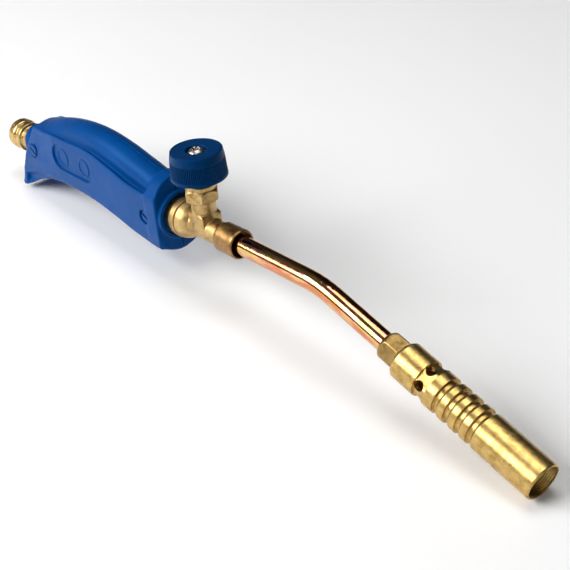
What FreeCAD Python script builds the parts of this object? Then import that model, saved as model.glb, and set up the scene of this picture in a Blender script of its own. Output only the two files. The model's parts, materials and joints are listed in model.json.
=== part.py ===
"""Propane torch with a two-piece plastic grip, a brass spindle valve and a turned brass burner.

Millimetres. The origin is the centre of the hose inlet's rear face. +X runs forward along the
gas line, +Z is up along the valve spindle, and +Y is to the left of someone holding the torch.
The burner line leaves the gas line at the bend and dips below it by the tilt angle.
"""
import FreeCAD, Part
import math
import os
import Sketcher
from FreeCAD import Placement, Rotation, Vector

os.makedirs("parts", exist_ok=True)

# ---------------------------------------------------------------- driving dimensions

SIZES = {
    # longer than any piece is wide, so that a tool of this length passes right through
    "reach": 60,
    # gas line
    "valve_x": 183, "bend_x": 88, "bend_radius": 60, "tilt": 17.4,
    "pipe_radius": 5, "pipe_wall": 1, "gap": 0.05,
    # hose inlet
    "inlet_radius": 8.75, "inlet_bore": 5.72, "inlet_depth": 10.6, "inlet_seal_radius": 5,
    "inlet_seal_thick": 1.4, "inlet_hub": 7, "inlet_rib": 9, "inlet_rib_back": 21,
    "inlet_rib_front": 24, "inlet_length": 44, "inlet_socket": 38,
    "gas_bore": 2.5,
    # valve body
    "tail_radius": 6.5, "tail_length": 50, "tail_socket": 10, "hub_radius": 9,
    "flange_radius": 10.4, "flange_back": 19.2, "flange_front": 14.9, "dome_front": 7.6,
    "body_radius": 6.22, "body_front": 19, "block_half": 6.05, "block_top": 9,
    "neck_radius": 6.3, "neck_top": 15.9,
    # valve insides
    "seat_z": 2, "chamber_radius": 4, "chamber_top": 11, "gland_bore": 4.9,
    "seat_disc_radius": 2.8, "seat_disc_thick": 1, "plug_waist": 3.3, "plug_guide": 4,
    "plug_top": 5.4, "tip_radius": 1.5,
    "thread_foot": 5.7, "thread_head": 9.3, "stem_radius": 2.5, "square_side": 3.6,
    "stem_top": 30, "spindle_top": 38.2, "ring_radius": 3.3, "ring_foot": 18, "ring_thick": 1.6,
    "washer_top": 11.8, "packing_top": 14,
    # gland nut
    "nut_flats": 16, "nut_top": 22.9, "nut_collar": 7.75, "nut_collar_top": 25.2, "nut_turn": -37,
    # knob
    "knob_foot": 28.65, "knob_skirt": 14.52, "knob_belt": 39.86, "knob_belt_radius": 13.63,
    "knob_top": 42.92, "knob_top_radius": 13.1, "knob_wall": 2, "knob_roof": 38.5,
    "knob_hub": 6, "knob_hub_foot": 29.6, "well_radius": 5.25, "well_floor": 40.3,
    "insert_radius": 4, "insert_foot": 31, "screw_radius": 1.2, "screw_foot": 30.6,
    "screw_washer_radius": 4.6, "screw_washer_top": 41.4, "screw_head_radius": 4.1,
    "screw_head_top": 43.9,
    # sleeve on the valve outlet
    "sleeve_radius": 7.67, "sleeve_back": 14, "sleeve_front": 29, "sleeve_mouth": 6.68,
    "sleeve_mouth_depth": 6.5, "tube_back": 19.5,
    # nozzle holder, measured along the burner line from the bend
    "holder_back": 44.5, "holder_flats": 13.7, "holder_front": 55.5, "holder_thread": 6.3,
    "holder_end": 63, "tube_end": 53, "jet_thread": 3, "jet_head": 4.2, "jet_washer": 0.8,
    "jet_end": 67, "jet_hole": 0.45, "holder_turn": 36.3,
    # burner, measured the same way
    "burner_radius": 9.36, "collar_back": 55.6, "collar_front": 70.4, "recess_front": 77.4,
    "recess_flats": 16.3, "air_hole_radius": 2.6, "air_hole_x": 73.1, "air_hole_turn": 10.5,
    "chamber_back": 64, "mixer_radius": 5.5, "ring_back": 77.8, "ring_front": 82.6,
    "ring_pitch": 6.95, "ring_slope": 1.2, "groove_radius": 7.9, "mixer_front": 107.5,
    "barrel_bore": 7.8,
    "mouth_bore": 8.15, "mouth_depth": 15, "burner_front": 140.4,
    "stabiliser_thick": 4, "stabiliser_port": 1.1, "stabiliser_circle": 5.3,
    "stabiliser_eye": 2.6,
    # grip
    "face_back": 24, "face_thick": 9, "face_half": 13.6, "face_top": 22, "face_foot": -21,
    "boss_radius": 13.3, "boss_front": 21.4, "boss_recess": 11.2, "rear_boss_radius": 10.6,
    "rear_boss_back": 20, "rear_boss_front": 36, "rear_lean": 27.3, "rear_x": 26.4,
    "fastener_radius": 1.5, "fastener_end": 3.8, "tapped_end": 3.6, "head_radius": 3.6,
    "head_depth": 2.2, "head_seat": 10.2, "grip_half": 13.2,
    "rear_screw_x": 36.5, "rear_screw_z": 3, "front_screw_x": 146.5, "front_screw_z": -1.5,
    "label_back": 59.6, "label_front": 99.2, "label_z": 8.4, "label_half": 7.4, "label_depth": 0.8,
}

# The grip's outline at its stations: distance from the inlet, crest, ridge, belly and half width
STATIONS = {
    "tail": (8, 11, 13.5, -26, 12.2),
    "heel": (20, 14, 15, -23.5, 12.4),
    "step": (36, 18.2, 17.2, -15.5, 12.7),
    "notch": (53, 23.6, 19.4, -10.2, 13),
    "waist": (74, 28, 21, -8.3, 13.2),
    "palm": (96, 29.3, 21.3, -9, 13.2),
    "swell": (116, 27.5, 17.4, -12, 13.2),
    "throat": (132, 24.2, 13.8, -15.2, 13.3),
    "front": (152, 19.8, 12.5, -17.2, 13.5),
}

doc = FreeCAD.newDocument("propane_torch")
sheet = doc.addObject("Spreadsheet::Sheet", "size")


def fill_sheet():
    """Write every driving dimension into the sheet, one row each, with its alias."""
    cells = dict(SIZES)
    for name, values in STATIONS.items():
        for part, value in zip(("at", "crest", "ridge", "belly", "half"), values):
            cells[f"{name}_{part}"] = value
    for row, (alias, value) in enumerate(cells.items(), start=1):
        sheet.set(f"A{row}", alias)
        sheet.set(f"B{row}", str(value))
        sheet.setAlias(f"B{row}", alias)
    doc.recompute()


def size(alias):
    """Read one driving dimension back from the sheet."""
    return float(sheet.get(alias))


def bind(item, **expressions):
    """Bind properties of an object to expressions; a double underscore stands for a dot."""
    for name, text in expressions.items():
        item.setExpression(name.replace("__", "."), text)
    return item


# ---------------------------------------------------------------- ways of making a piece

def origin_plane(body, role):
    """Find one of the body's own origin planes."""
    return next(item for item in body.Origin.OriginFeatures if item.Role == role)


def outline(body, role, corners):
    """Draw a closed polygon whose corners' coordinates are expressions on the sheet."""
    sketch = body.newObject("Sketcher::SketchObject", body.Name + "_outline")
    sketch.AttachmentSupport = (origin_plane(body, role), [""])
    sketch.MapMode = "FlatFace"
    count = len(corners)
    turn = 2 * math.pi / count
    start = [Vector(10 * math.cos(turn * i), 10 * math.sin(turn * i), 0) for i in range(count)]
    for i in range(count):
        sketch.addGeometry(Part.LineSegment(start[i], start[(i + 1) % count]))
    for i in range(count):
        sketch.addConstraint(Sketcher.Constraint("Coincident", i, 2, (i + 1) % count, 1))
    for i, (across, up) in enumerate(corners):
        for kind, text, value in (("DistanceX", across, start[i].x), ("DistanceY", up, start[i].y)):
            index = sketch.addConstraint(Sketcher.Constraint(kind, -1, 1, i, 1, value))
            sketch.setExpression(f"Constraints[{index}]", text)
    return sketch


def turned(label, corners, axis="H_Axis"):
    """Turn a body from a half section in the XZ plane, about X (H_Axis) or Z (V_Axis)."""
    body = doc.addObject("PartDesign::Body", label)
    body.Label = label
    sketch = outline(body, "XZ_Plane", corners)
    lathe = body.newObject("PartDesign::Revolution", label + "_turning")
    lathe.Profile = sketch
    lathe.ReferenceAxis = (sketch, [axis])
    lathe.Angle = 360
    return body


def cylinder(label, radius, length, along="Z", **place):
    """Make a bound cylinder along X, Y or Z; place gives its x, y and z expressions."""
    item = doc.addObject("Part::Cylinder", label)
    turn = {"X": Rotation(Vector(0, 1, 0), 90), "Y": Rotation(Vector(1, 0, 0), -90), "Z": Rotation()}
    item.Placement = Placement(Vector(), turn[along])
    bind(item, Radius=radius, Height=length)
    for name, text in place.items():
        item.setExpression(f"Placement.Base.{name}", text)
    return item


def box(label, length, width, height, **place):
    """Make a bound box; place gives its low corner's x, y and z expressions."""
    item = doc.addObject("Part::Box", label)
    bind(item, Length=length, Width=width, Height=height)
    for name, text in place.items():
        item.setExpression(f"Placement.Base.{name}", text)
    return item


def hexagon(label, flats, height, along="Z", turn_angle=0.0):
    """Make a hexagonal prism with bound flats, centred on its axis and turned about it."""
    item = doc.addObject("Part::Prism", label)
    item.Polygon = 6
    bind(item, Circumradius=f"({flats}) / sqrt(3)", Height=height)
    spin = Rotation(Vector(0, 0, 1), turn_angle)
    lay = {"X": Rotation(Vector(0, 1, 0), 90), "Y": Rotation(Vector(1, 0, 0), -90), "Z": Rotation()}
    item.Placement = Placement(Vector(), lay[along].multiply(spin))
    return item


def fused(label, *shapes):
    item = doc.addObject("Part::MultiFuse", label)
    item.Shapes = list(shapes)
    return item


def cut(label, base, *tools):
    """Take the tools away from the base."""
    item = doc.addObject("Part::Cut", label)
    item.Base = base
    item.Tool = tools[0] if len(tools) == 1 else fused(label + "_tools", *tools)
    return item


def common(label, first, second):
    item = doc.addObject("Part::MultiCommon", label)
    item.Shapes = [first, second]
    return item


def as_drawn(item):
    """Leave a piece where it was drawn."""
    return item


def on_valve(item):
    """Move a piece that is drawn about the spindle axis to the valve's place."""
    return bind(item, Placement__Base__x="size.valve_x")


def on_burner_line(item):
    """Move a piece that is drawn from the bend, along X, onto the tilted burner line."""
    item.Placement = Placement(Vector(), Rotation(Vector(0, 1, 0), size("tilt")))
    return bind(item, Placement__Base__x="size.valve_x + size.bend_x",
                Placement__Rotation__Angle="size.tilt")


def placed(label, shape, where):
    """Give a finished boolean its node label and its place."""
    shape.Label = label
    return where(shape)


def screw_place(place):
    """Bindings for the X and Z of the grip screws at the rear or front place."""
    return {"x": f"size.{place}_screw_x", "z": f"size.{place}_screw_z"}


def tapped_holes(place):
    """Blind holes from both sides for the grip screws, short of the gas bore."""
    depth = "size.tail_radius + 1 - size.tapped_end"
    return [
        cylinder(f"{place}_tapped_right", "size.fastener_radius", depth, "Y",
                 y="-size.tail_radius - 1", **screw_place(place)),
        cylinder(f"{place}_tapped_left", "size.fastener_radius", depth, "Y",
                 y="size.tapped_end", **screw_place(place)),
    ]


# ---------------------------------------------------------------- gas line behind the valve

def hose_inlet():
    """Brass inlet: two collars with a groove between, hub, rib and a tail tapped for the screws."""
    corners = [
        ("0", "size.inlet_bore"), ("0", "size.inlet_radius - 1.9"),
        ("0.5", "size.inlet_radius - 0.8"), ("1.7", "size.inlet_radius"),
        ("6.8", "size.inlet_radius"), ("7.8", "size.inlet_radius - 1.3"),
        ("8.8", "size.inlet_radius - 1.3"), ("9.2", "size.inlet_radius - 0.2"),
        ("12.6", "size.inlet_radius - 0.2"), ("13.2", "size.inlet_hub"),
        ("size.inlet_rib_back", "size.inlet_hub"), ("size.inlet_rib_back", "size.inlet_rib"),
        ("size.inlet_rib_front", "size.inlet_rib"), ("size.inlet_rib_front", "size.tail_radius"),
        ("size.inlet_length", "size.tail_radius"),
        ("size.inlet_length", "size.pipe_radius + size.gap"),
        ("size.inlet_socket", "size.pipe_radius + size.gap"),
        ("size.inlet_socket", "size.gas_bore"),
        ("size.inlet_depth + size.inlet_seal_thick", "size.gas_bore"),
        ("size.inlet_depth + size.inlet_seal_thick", "size.inlet_seal_radius"),
        ("size.inlet_depth", "size.inlet_seal_radius"), ("size.inlet_depth", "size.inlet_bore"),
    ]
    blank = turned("inlet_blank", corners)
    return placed("hose_inlet", cut("inlet_piece", blank, *tapped_holes("rear")), as_drawn)


def ring_along_x(label, start, end, inner, outer):
    """Turn a plain ring about X."""
    return turned(label, [(start, inner), (end, inner), (end, outer), (start, outer)])


def ring_along_z(label, start, end, inner, outer):
    """Turn a plain ring about Z."""
    return turned(label, [(inner, start), (outer, start), (outer, end), (inner, end)], "V_Axis")


# ---------------------------------------------------------------- valve

def valve_body():
    """Forged brass cross: tail, flange with a dome, outlet barrel, square block and neck."""
    line = turned("valve_line", [
        ("-size.tail_length", "0"), ("-size.tail_length", "size.tail_radius"),
        ("-size.face_back", "size.tail_radius"), ("-size.face_back", "size.hub_radius"),
        ("-size.flange_back", "size.hub_radius"), ("-size.flange_back", "size.flange_radius - 0.5"),
        ("-size.flange_back + 0.5", "size.flange_radius"),
        ("-size.flange_front", "size.flange_radius - 0.1"),
        ("-size.flange_front + 1.8", "size.flange_radius - 0.5"),
        ("-size.flange_front + 3.7", "size.flange_radius - 1.2"),
        ("-size.flange_front + 5.6", "size.flange_radius - 2.4"),
        ("-size.dome_front", "size.body_radius + 0.3"), ("-size.dome_front + 1", "size.body_radius"),
        ("size.body_front", "size.body_radius"), ("size.body_front", "0"),
    ])
    neck = turned("valve_neck", [
        ("0", "0"), ("size.neck_radius + 0.3", "0"), ("size.neck_radius + 0.3", "size.block_top - 0.5"),
        ("size.neck_radius", "size.block_top + 1.5"), ("size.neck_radius - 0.1", "size.neck_top"),
        ("0", "size.neck_top"),
    ], "V_Axis")
    block = box("valve_block", "2 * size.block_half", "2 * size.block_half", "size.block_top",
                x="-size.block_half", y="-size.block_half", z="0")
    stepped_bore = turned("valve_bore", [
        ("0", "0"), ("size.gas_bore - 0.5", "0"), ("size.gas_bore - 0.5", "size.seat_z"),
        ("size.chamber_radius", "size.seat_z"), ("size.chamber_radius", "size.chamber_top"),
        ("size.gland_bore", "size.chamber_top"), ("size.gland_bore", "size.neck_top + 1"),
        ("0", "size.neck_top + 1"),
    ], "V_Axis")
    inlet_bore = turned("valve_inlet_bore", [
        ("-size.tail_length - 1", "0"), ("-size.tail_length - 1", "size.pipe_radius + size.gap"),
        ("-size.tail_length + size.tail_socket", "size.pipe_radius + size.gap"),
        ("-size.tail_length + size.tail_socket", "size.gas_bore"),
        ("-size.chamber_radius - 1.5", "size.gas_bore"), ("-size.chamber_radius", "1.2"),
        ("0", "1.2"), ("0", "0"),
    ])
    outlet_bore = cylinder("valve_outlet_bore", "1.6", "size.body_front + 1", "X", z="4")
    forging = fused("valve_forging", line, neck, block)
    body = on_valve(cut("valve_cross", forging, stepped_bore, inlet_bore, outlet_bore))
    return placed("valve_body", cut("valve_tapped", body, *tapped_holes("front")), as_drawn)


def plug_and_seat():
    """Sliding plug with a soft disc; the spindle's tip turns in the plug's socket."""
    plug = turned("valve_plug", [
        ("0", "size.seat_z + size.seat_disc_thick"),
        ("size.seat_disc_radius", "size.seat_z + size.seat_disc_thick"),
        ("size.seat_disc_radius", "size.seat_z + 0.5"), ("size.plug_waist", "size.seat_z + 0.5"),
        ("size.plug_waist", "size.plug_guide"),
        ("size.chamber_radius - size.gap", "size.plug_guide"),
        ("size.chamber_radius - size.gap", "size.plug_top"),
        ("size.tip_radius + size.gap", "size.plug_top"),
        ("size.tip_radius + size.gap", "size.seat_z + size.seat_disc_thick + 0.6"),
        ("0", "size.seat_z + size.seat_disc_thick + 0.6"),
    ], "V_Axis")
    disc = turned("seat_disc", [
        ("0", "size.seat_z"), ("size.seat_disc_radius", "size.seat_z"),
        ("size.seat_disc_radius", "size.seat_z + size.seat_disc_thick"),
        ("0", "size.seat_z + size.seat_disc_thick"),
    ], "V_Axis")
    return [on_valve(plug), on_valve(disc)]


def spindle():
    """Steel spindle: tip, screw, stem with a ring groove, and a square end with a tapped hole."""
    shaft = turned("spindle_shaft", [
        ("0", "size.seat_z + size.seat_disc_thick + 0.8"),
        ("size.tip_radius", "size.seat_z + size.seat_disc_thick + 0.8"),
        ("size.tip_radius", "size.thread_foot"),
        ("size.chamber_radius - size.gap", "size.thread_foot"),
        ("size.chamber_radius - size.gap", "size.thread_head"),
        ("size.stem_radius", "size.thread_head"), ("size.stem_radius", "size.ring_foot"),
        ("size.stem_radius - 0.6", "size.ring_foot"),
        ("size.stem_radius - 0.6", "size.ring_foot + size.ring_thick"),
        ("size.stem_radius", "size.ring_foot + size.ring_thick"),
        ("size.stem_radius", "size.spindle_top"), ("0", "size.spindle_top"),
    ], "V_Axis")
    square = box("spindle_square", "size.square_side", "size.square_side", "size.reach",
                 x="-size.square_side / 2", y="-size.square_side / 2", z="size.stem_top")
    waste = cylinder("spindle_waste", "size.chamber_radius", "size.reach", z="size.stem_top")
    around = cut("spindle_flats", waste, square)
    hole = cylinder("spindle_hole", "size.screw_radius", "size.reach", z="size.screw_foot")
    return placed("spindle", cut("spindle_piece", shaft, around, hole), on_valve)


def gland_nut():
    """Hexagonal gland nut with a chamfered top, a round collar and a threaded shank."""
    blank = turned("gland_nut_blank", [
        ("size.stem_radius + size.gap", "size.packing_top"), ("size.gland_bore", "size.packing_top"),
        ("size.gland_bore", "size.neck_top"), ("size.nut_flats / 2 - 1.1", "size.neck_top"),
        ("size.nut_flats / 2 + 1.4", "size.neck_top + 2.4"),
        ("size.nut_flats / 2 + 1.4", "size.nut_top - 1.1"),
        ("size.nut_collar", "size.nut_top"), ("size.nut_collar", "size.nut_collar_top - 0.5"),
        ("size.nut_collar - 0.5", "size.nut_collar_top"),
        ("size.ring_radius + size.gap", "size.nut_collar_top"),
        ("size.ring_radius + size.gap", "size.ring_foot - 0.6"),
        ("size.stem_radius + size.gap", "size.ring_foot - 0.6"),
    ], "V_Axis")
    flats = hexagon("gland_nut_flats", "size.nut_flats", "size.reach", turn_angle=size("nut_turn"))
    return placed("gland_nut", common("gland_nut_piece", blank, flats), on_valve)


def knob():
    """Plastic knob: tapered skirt, bevelled top with a screw well, and an inner hub."""
    shell = turned("knob_shell", [
        ("size.knob_skirt - size.knob_wall", "size.knob_foot"), ("size.knob_skirt", "size.knob_foot"),
        ("size.knob_belt_radius", "size.knob_belt"), ("size.knob_top_radius", "size.knob_top"),
        ("size.well_radius", "size.knob_top"), ("size.well_radius", "size.well_floor"),
        ("size.screw_radius + 0.2", "size.well_floor"), ("size.screw_radius + 0.2", "size.knob_roof"),
        ("size.insert_radius", "size.knob_roof"), ("size.insert_radius", "size.knob_hub_foot"),
        ("size.knob_hub", "size.knob_hub_foot"), ("size.knob_hub", "size.knob_roof"),
        ("size.knob_belt_radius - size.knob_wall", "size.knob_roof"),
    ], "V_Axis")
    return placed("knob", shell, on_valve)


def knob_insert():
    """Brass bush with a square hole, moulded into the knob's hub."""
    bush = cylinder("insert_bush", "size.insert_radius", "size.knob_roof - size.insert_foot",
                    z="size.insert_foot")
    square = box("insert_square", "size.square_side + 0.04", "size.square_side + 0.04", "size.reach",
                 x="-size.square_side / 2 - 0.02", y="-size.square_side / 2 - 0.02", z="0")
    return placed("knob_insert", cut("insert_piece", bush, square), on_valve)


def knob_screw():
    """Pan-head screw with a cross recess."""
    blank = turned("knob_screw_blank", [
        ("0", "size.screw_foot"), ("size.screw_radius", "size.screw_foot"),
        ("size.screw_radius", "size.screw_washer_top"),
        ("size.screw_head_radius", "size.screw_washer_top"),
        ("size.screw_head_radius", "size.screw_washer_top + 0.9"),
        ("size.screw_head_radius - 1.1", "size.screw_head_top - 0.2"),
        ("size.screw_head_radius - 2.4", "size.screw_head_top"), ("0", "size.screw_head_top"),
    ], "V_Axis")
    slots = [
        box("cross_slot_x", "4.4", "0.9", "1.4", x="-2.2", y="-0.45", z="size.screw_head_top - 1.2"),
        box("cross_slot_y", "0.9", "4.4", "1.4", x="-0.45", y="-2.2", z="size.screw_head_top - 1.2"),
    ]
    return placed("knob_screw", cut("knob_screw_piece", blank, *slots), on_valve)


# ---------------------------------------------------------------- outlet sleeve and neck tube

def tube_sleeve():
    """Heat-tinted sleeve, brazed over the valve outlet, with a deep mouth round the tube."""
    sleeve = turned("tube_sleeve", [
        ("size.sleeve_back", "size.body_radius + size.gap"),
        ("size.sleeve_back", "size.sleeve_radius - 1"),
        ("size.sleeve_back + 1.6", "size.sleeve_radius"),
        ("size.sleeve_front - 0.6", "size.sleeve_radius"),
        ("size.sleeve_front", "size.sleeve_radius - 0.5"), ("size.sleeve_front", "size.sleeve_mouth"),
        ("size.sleeve_front - size.sleeve_mouth_depth", "size.sleeve_mouth"),
        ("size.sleeve_front - size.sleeve_mouth_depth", "size.pipe_radius + size.gap"),
        ("size.body_front", "size.pipe_radius + size.gap"),
        ("size.body_front", "size.body_radius + size.gap"),
    ])
    return on_valve(sleeve)


def bent_rod(label, radius):
    """Make a rod along the neck: straight from the sleeve, round the bend, then the burner line."""
    tangent = "size.bend_radius * tan(size.tilt * 1 deg / 2)"
    corner = "(size.valve_x + size.bend_x)"
    straight = cylinder(label + "_straight", radius,
                        f"size.bend_x - size.tube_back - {tangent}", "X",
                        x="size.valve_x + size.tube_back")
    bend = doc.addObject("Part::Torus", label + "_bend")
    bend.Placement = Placement(Vector(), Rotation(Vector(1, 1, 1), 240))
    bind(bend, Radius1="size.bend_radius", Radius2=radius, Angle3="size.tilt",
         Placement__Base__x=f"{corner} - {tangent}", Placement__Base__z="-size.bend_radius")
    dip = cylinder(label + "_dip", radius, f"size.tube_end - {tangent}")
    dip.Placement = Placement(Vector(), Rotation(Vector(0, 1, 0), 90 + size("tilt")))
    bind(dip, Placement__Rotation__Angle="size.tilt + 90",
         Placement__Base__x=f"{corner} + {tangent} * cos(size.tilt * 1 deg)",
         Placement__Base__z=f"-{tangent} * sin(size.tilt * 1 deg)")
    return fused(label, straight, bend, dip)


def neck_tube():
    """Chromated steel tube from the valve to the nozzle holder."""
    outside = bent_rod("neck_outside", "size.pipe_radius")
    inside = bent_rod("neck_inside", "size.pipe_radius - size.pipe_wall")
    tube = cut("neck_tube", outside, inside)
    return tube


# ---------------------------------------------------------------- burner

def nozzle_holder():
    """Hexagonal brass holder: tube socket behind, male thread and jet seat in front."""
    blank = turned("holder_blank", [
        ("size.holder_back", "size.pipe_radius + size.gap"), ("size.holder_back", "5.7"),
        ("size.holder_back + 0.8", "6.8"), ("size.holder_back + 2.2", "7.6"),
        ("size.holder_back + 4", "8.2"), ("size.holder_front", "8.2"),
        ("size.holder_front", "size.holder_thread"), ("size.holder_end", "size.holder_thread"),
        ("size.holder_end", "size.jet_thread"), ("size.tube_end + 4", "size.jet_thread"),
        ("size.tube_end + 4", "size.gas_bore"), ("size.tube_end", "size.gas_bore"),
        ("size.tube_end", "size.pipe_radius + size.gap"),
    ])
    flats = hexagon("holder_flats", "size.holder_flats", "120", "X", -90 - size("holder_turn"))
    return placed("nozzle_holder", common("holder_piece", blank, flats), on_burner_line)


def jet():
    """Brass gas jet, screwed into the holder, with a fine orifice and a tapered nose."""
    piece = turned("jet", [
        ("size.tube_end + 4.4", "1.6"), ("size.tube_end + 4.4", "size.jet_thread"),
        ("size.holder_end + size.jet_washer", "size.jet_thread"),
        ("size.holder_end + size.jet_washer", "size.jet_head"),
        ("size.jet_end - 1.6", "size.jet_head"), ("size.jet_end", "1.6"),
        ("size.jet_end", "size.jet_hole"), ("size.jet_end - 2", "size.jet_hole"),
        ("size.jet_end - 3", "1.6"),
    ])
    return on_burner_line(piece)


def burner_corners():
    """Half section of the burner: collar, recess, four rings with grooves, long barrel."""
    front = "size.burner_front"
    corners = [
        ("size.collar_back", "size.holder_thread + size.gap"),
        ("size.collar_back", "size.burner_radius - 1.1"),
        ("size.collar_back + 1.5", "size.burner_radius"),
    ]
    for ring in range(4):
        step = f"{ring} * size.ring_pitch"
        corners.append((f"size.ring_front + {step}", "size.burner_radius"))
        corners.append((f"size.ring_front + {step}", "size.groove_radius"))
        foot = f"size.ring_back + size.ring_pitch + {step}"
        corners.append((foot, "size.groove_radius"))
        corners.append((f"{foot} + size.ring_slope", "size.burner_radius"))
    corners += [
        (f"{front} - 0.4", "size.burner_radius"), (front, "size.burner_radius - 0.4"),
        (front, "size.mouth_bore"), (f"{front} - size.mouth_depth", "size.mouth_bore"),
        (f"{front} - size.mouth_depth", "size.barrel_bore"), ("size.mixer_front", "size.barrel_bore"),
        ("size.mixer_front", "size.mixer_radius"), ("size.chamber_back", "size.mixer_radius"),
        ("size.chamber_back", "size.holder_thread + size.gap"),
    ]
    return corners


def burner_body():
    """Turned brass burner with six milled flats in the recess and an air hole at each corner."""
    blank = turned("burner_blank", burner_corners())
    ring = cylinder("recess_ring", "size.burner_radius + 3",
                    "size.recess_front - size.collar_front", "X", x="size.collar_front")
    first_corner = size("air_hole_turn")
    flats = hexagon("recess_flats_prism", "size.recess_flats", "160", "X", -90 - first_corner)
    tools = [cut("recess_waste", ring, flats)]
    for number in range(6):
        angle = first_corner + 60 * number
        hole = cylinder(f"air_hole_{number}", "size.air_hole_radius", "size.burner_radius + 3",
                        x="size.air_hole_x")
        hole.Placement.Rotation = Rotation(Vector(1, 0, 0), 90 - angle)
        tools.append(hole)
    return placed("burner_body", cut("burner_piece", blank, *tools), on_burner_line)


def flame_stabiliser():
    """Brass disc behind the barrel: an eye in the middle and six small ports round it."""
    disc = turned("stabiliser_disc", [
        ("size.mixer_front", "size.stabiliser_eye"), ("size.mixer_front", "size.barrel_bore - size.gap"),
        ("size.mixer_front + size.stabiliser_thick", "size.barrel_bore - size.gap"),
        ("size.mixer_front + size.stabiliser_thick", "size.stabiliser_eye"),
    ])
    ports = []
    for number in range(6):
        port = cylinder(f"port_{number}", "size.stabiliser_port", "size.stabiliser_thick + 2", "X",
                        x="size.mixer_front - 1",
                        y=f"size.stabiliser_circle * cos({60 * number} deg)",
                        z=f"size.stabiliser_circle * sin({60 * number} deg)")
        ports.append(port)
    return placed("flame_stabiliser", cut("stabiliser_piece", disc, *ports), on_burner_line)


# ---------------------------------------------------------------- grip

def station_wire(name):
    """Closed section of the grip: flat belly, upright sides, ridges, flutes and a round crest."""
    at, crest, ridge, belly, half = (
        size(f"{name}_{part}") for part in ("at", "crest", "ridge", "belly", "half"))
    rise = crest - ridge
    side = [
        (half - 4, belly), (half - 0.8, belly + 2), (half, belly + 6), (half + 0.2, ridge - 6),
        (half - 0.4, ridge - 1.5), (half - 2, ridge), (half - 4, ridge + 0.2 * rise),
        (half - 6, ridge + 0.55 * rise), (half - 9, ridge + 0.88 * rise),
    ]
    far_side = [(-y, z) for y, z in reversed(side)]
    points = [Vector(at, y, z) for y, z in side + far_side]
    return Part.makePolygon(points + points[:1])


def grip_blank():
    """Whole grip before it is split: lofted hand part, front wall, bosses and a leaning tail."""
    loft = doc.addObject("Part::Feature", "grip_loft")
    loft.Shape = Part.makeLoft([station_wire(name) for name in STATIONS], True, False)
    lean = box("tail_waste", "size.reach", "size.reach", "2 * size.reach")
    turn = Rotation(Vector(0, 1, 0), size("rear_lean"))
    reach = size("reach")
    corner = turn.multVec(Vector(reach, 0, reach))
    lean.Placement = Placement(Vector(size("rear_x"), -reach / 2, 0) - corner, turn)
    hand = cut("grip_hand", loft, lean)
    wall_back = "size.valve_x - size.face_back - size.face_thick"
    upper = cylinder("face_upper", "size.face_half", "size.face_thick", "X", x=wall_back,
                     z="size.face_top - size.face_half")
    lower = cylinder("face_lower", "size.face_half", "size.face_thick", "X", x=wall_back,
                     z="size.face_foot + size.face_half")
    middle = box("face_middle", "size.face_thick", "2 * size.face_half",
                 "size.face_top - size.face_foot - 2 * size.face_half", x=wall_back,
                 y="-size.face_half", z="size.face_foot + size.face_half")
    boss = cylinder("face_boss", "size.boss_radius", "size.face_back - size.boss_front", "X",
                    x="size.valve_x - size.face_back")
    tail = cylinder("tail_boss", "size.rear_boss_radius",
                    "size.rear_boss_front - size.rear_boss_back", "X", x="size.rear_boss_back")
    return fused("grip_blank", hand, upper, lower, middle, boss, tail)


def grip_tools():
    """Everything that is taken out of both halves of the grip."""
    tools = [
        cylinder("pipe_tunnel", "size.pipe_radius + 0.1", "size.valve_x", "X"),
        cylinder("hub_tunnel", "size.hub_radius + 0.1", "size.face_back", "X",
                 x="size.valve_x - size.face_back"),
        cylinder("boss_recess", "size.boss_recess", "size.face_back", "X",
                 x="size.valve_x - size.face_back + 0.6"),
        cylinder("tail_tunnel", "size.tail_radius + 0.1", "size.tail_length", "X",
                 x="size.valve_x - size.tail_length"),
        cylinder("inlet_hub_tunnel", "size.inlet_hub + 0.1", "size.inlet_rib_back", "X"),
        cylinder("inlet_rib_groove", "size.inlet_rib + 0.1",
                 "size.inlet_rib_front - size.inlet_rib_back", "X", x="size.inlet_rib_back"),
        cylinder("inlet_tail_tunnel", "size.tail_radius + 0.1",
                 "size.inlet_length - size.inlet_rib_front", "X", x="size.inlet_rib_front"),
    ]
    for number, (start, end, foot, top) in enumerate(
            ((54, 76, -3, 15), (80, 102, -4, 17), (106, 132, -6, 13))):
        tools.append(box(f"core_{number}", str(end - start), "2 * (size.grip_half - 3.5)",
                         str(top - foot), x=str(start), y="3.5 - size.grip_half", z=str(foot)))
    for place in ("rear", "front"):
        at = screw_place(place)
        tools += [
            cylinder(f"{place}_screw_hole", "size.fastener_radius + 0.2", "size.reach", "Y",
                     y="-size.reach / 2", **at),
            cylinder(f"{place}_right_head_hole", "size.head_radius + 0.3", "30", "Y",
                     y="-30 - size.head_seat", **at),
            cylinder(f"{place}_left_head_hole", "size.head_radius + 0.3", "30", "Y",
                     y="size.head_seat", **at),
        ]
    return tools


def label_recess():
    """Shallow plain panel with round ends, sunk in the right side of the grip."""
    length = "size.label_front - size.label_back - 2 * size.label_half"
    depth = "(size.grip_half - size.label_depth + 0.2)"
    ends = [
        cylinder("label_end_back", "size.label_half", "20", "Y", x="size.label_back + size.label_half",
                 y=f"-20 - {depth}", z="size.label_z"),
        cylinder("label_end_front", "size.label_half", "20", "Y",
                 x="size.label_front - size.label_half", y=f"-20 - {depth}", z="size.label_z"),
        box("label_middle", length, "20", "2 * size.label_half",
            x="size.label_back + size.label_half", y=f"-20 - {depth}",
            z="size.label_z - size.label_half"),
    ]
    return fused("label_recess", *ends)


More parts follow.
